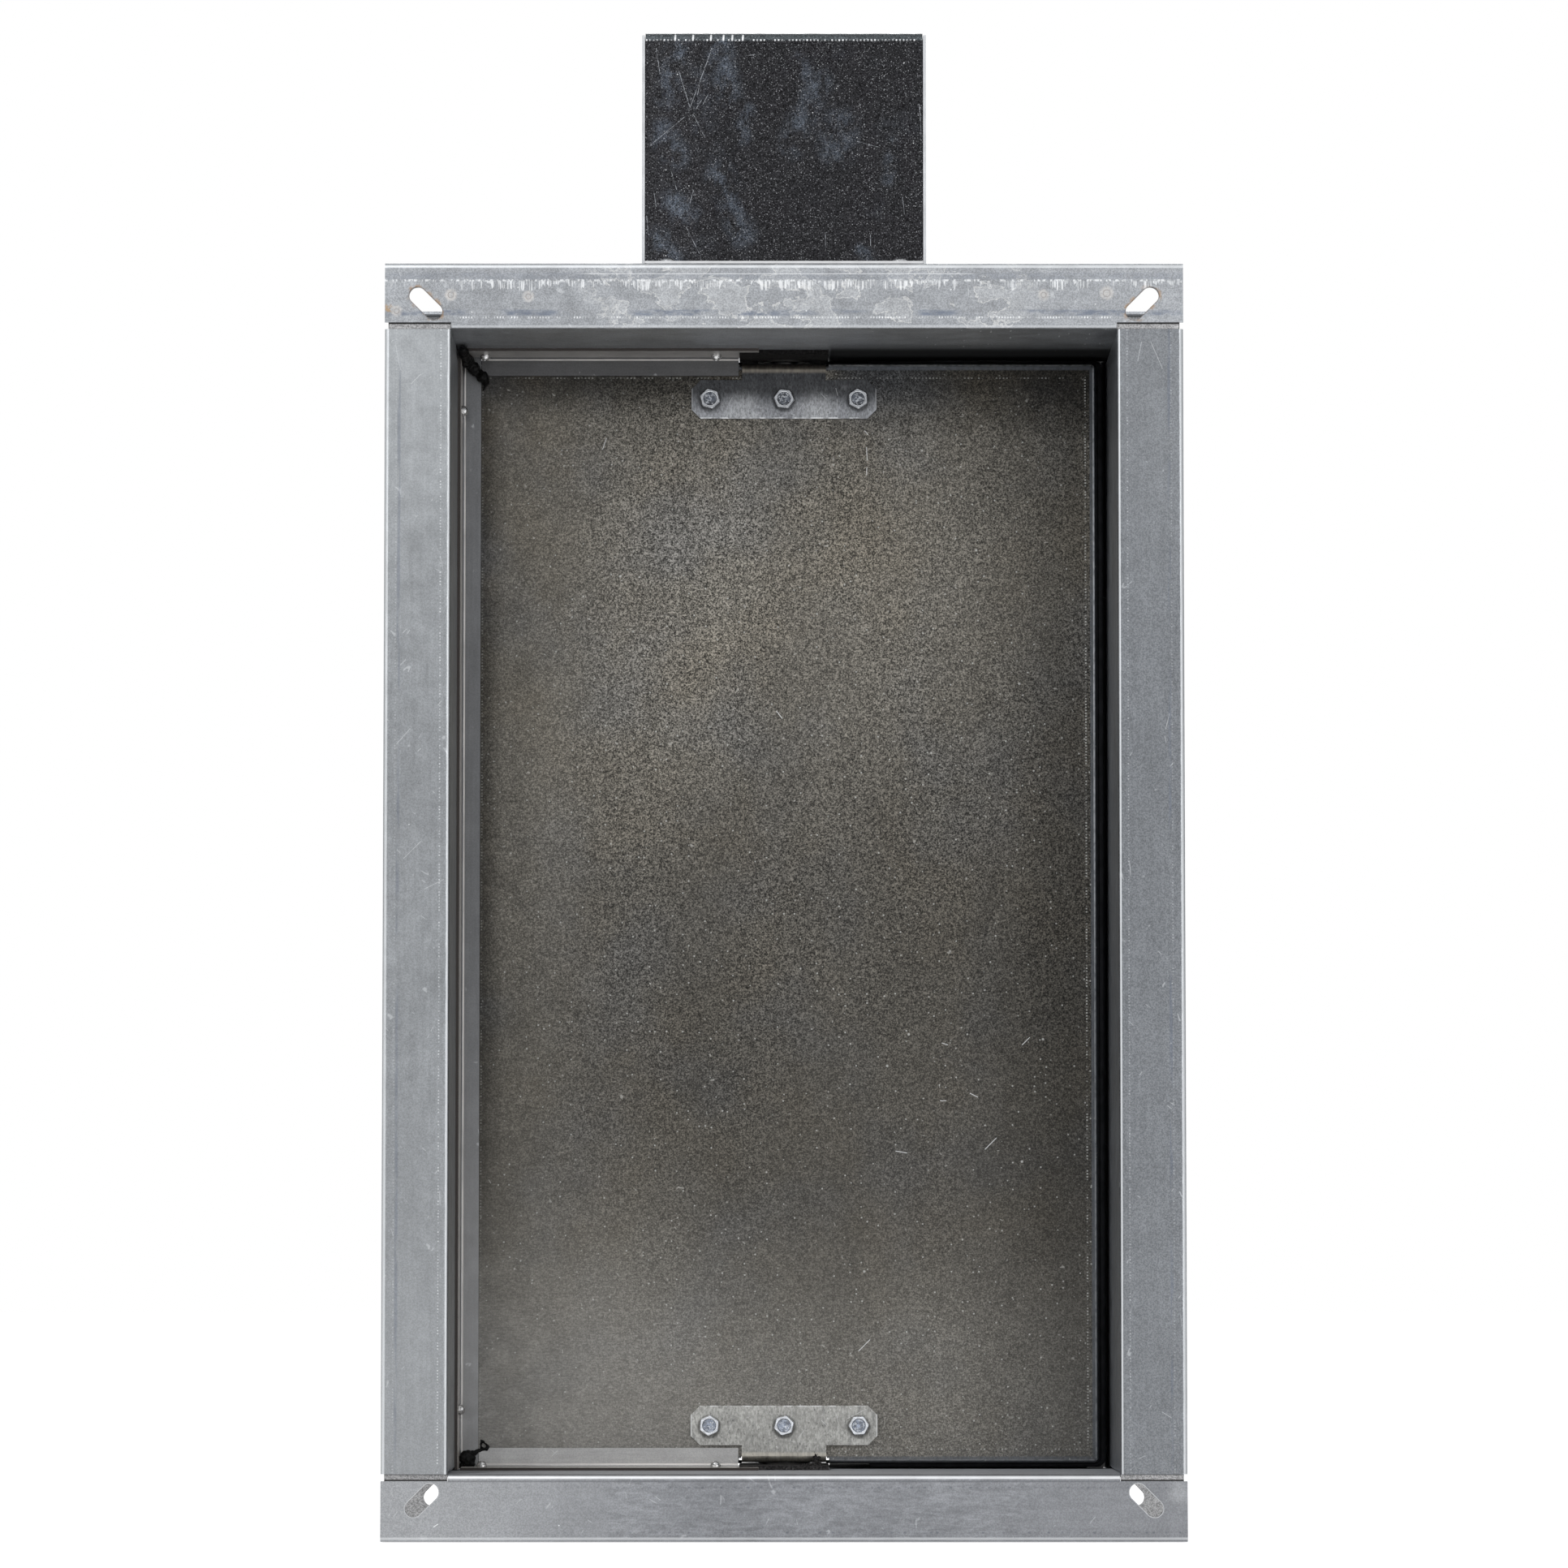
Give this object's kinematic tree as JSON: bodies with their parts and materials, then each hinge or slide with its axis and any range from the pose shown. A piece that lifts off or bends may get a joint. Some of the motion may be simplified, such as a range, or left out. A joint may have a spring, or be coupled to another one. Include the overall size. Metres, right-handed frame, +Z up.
{
  "type": "fire damper",
  "caption": "Rectangular duct fire damper: flanged case of folded sheet, one insulated blade that swings shut about an upright axle, and an actuator housing on top.",
  "frame": {"origin": "middle of the bounding box's underside, level with the lips of the bottom flanges", "axes": "+Z up along the blade's axle, +Y along the duct away from the closed blade's front, +X to the right seen from the front"},
  "size_m": [0.42, 0.2, 0.7985],
  "materials": {
    "galvanised_case": "satin",
    "galvanised_stop": "satin",
    "galvanised_blade": "satin",
    "zinc_bracket": "satin",
    "zinc_fastener": "gloss",
    "steel_axle": "satin",
    "oiled_bush": "satin",
    "rubber_seal": "matte",
    "foam_pad": "matte",
    "mastic": "gloss",
    "silicate_board": "matte",
    "painted_cover": "satin",
    "galvanised_base": "satin",
    "cast_actuator": "satin",
    "trip_plastic": "matte",
    "trip_probe": "satin"
  },
  "bodies": {
    "case": {"top_panel": "galvanised_case", "bottom_panel": "galvanised_case", "left_panel": "galvanised_case", "right_panel": "galvanised_case", "front_corner_plates": "galvanised_case", "rear_corner_plates": "galvanised_case", "top_front_stop": "galvanised_stop", "left_front_stop": "galvanised_stop", "bottom_front_stop": "galvanised_stop", "front_stop_rivets": "zinc_fastener", "top_rear_stop": "galvanised_stop", "right_rear_stop": "galvanised_stop", "bottom_rear_stop": "galvanised_stop", "rear_stop_rivets": "zinc_fastener", "upper_bush": "oiled_bush", "lower_bush": "oiled_bush", "bush_nuts": "zinc_fastener", "upper_axle_pad": "foam_pad", "lower_axle_pad": "foam_pad", "upper_corner_sealant": "mastic", "lower_corner_sealant": "mastic", "actuator_console": "galvanised_case", "housing_base": "galvanised_base", "base_screws": "zinc_fastener", "base_nuts": "zinc_fastener", "housing_cover": "painted_cover", "cover_screws": "zinc_fastener", "cable_grommet": "rubber_seal", "actuator_body": "cast_actuator", "actuator_stay": "zinc_bracket", "stay_screws": "zinc_fastener", "thermal_trip_body": "trip_plastic", "thermal_trip_probe": "trip_probe"},
    "blade": {"front_blade_sheet": "galvanised_blade", "rear_blade_sheet": "galvanised_blade", "blade_core": "silicate_board", "blade_edge_seal": "rubber_seal", "upper_blade_bracket": "zinc_bracket", "lower_blade_bracket": "zinc_bracket", "bracket_bolts": "zinc_fastener", "bracket_nuts": "zinc_fastener", "drive_axle": "steel_axle", "lower_axle": "steel_axle", "lower_axle_ring": "steel_axle", "actuator_hub": "steel_axle", "hub_clamp_screws": "zinc_fastener"}
  },
  "joints": [
    {"name": "blade_swing", "type": "hinge", "parent": "case", "child": "blade", "pos_m": [0, 0.02, 0], "axis": [0, 0, -1], "range_deg": [0, 90], "stiffness_Nm_per_rad": 1, "springref_deg": -171.89}
  ]
}
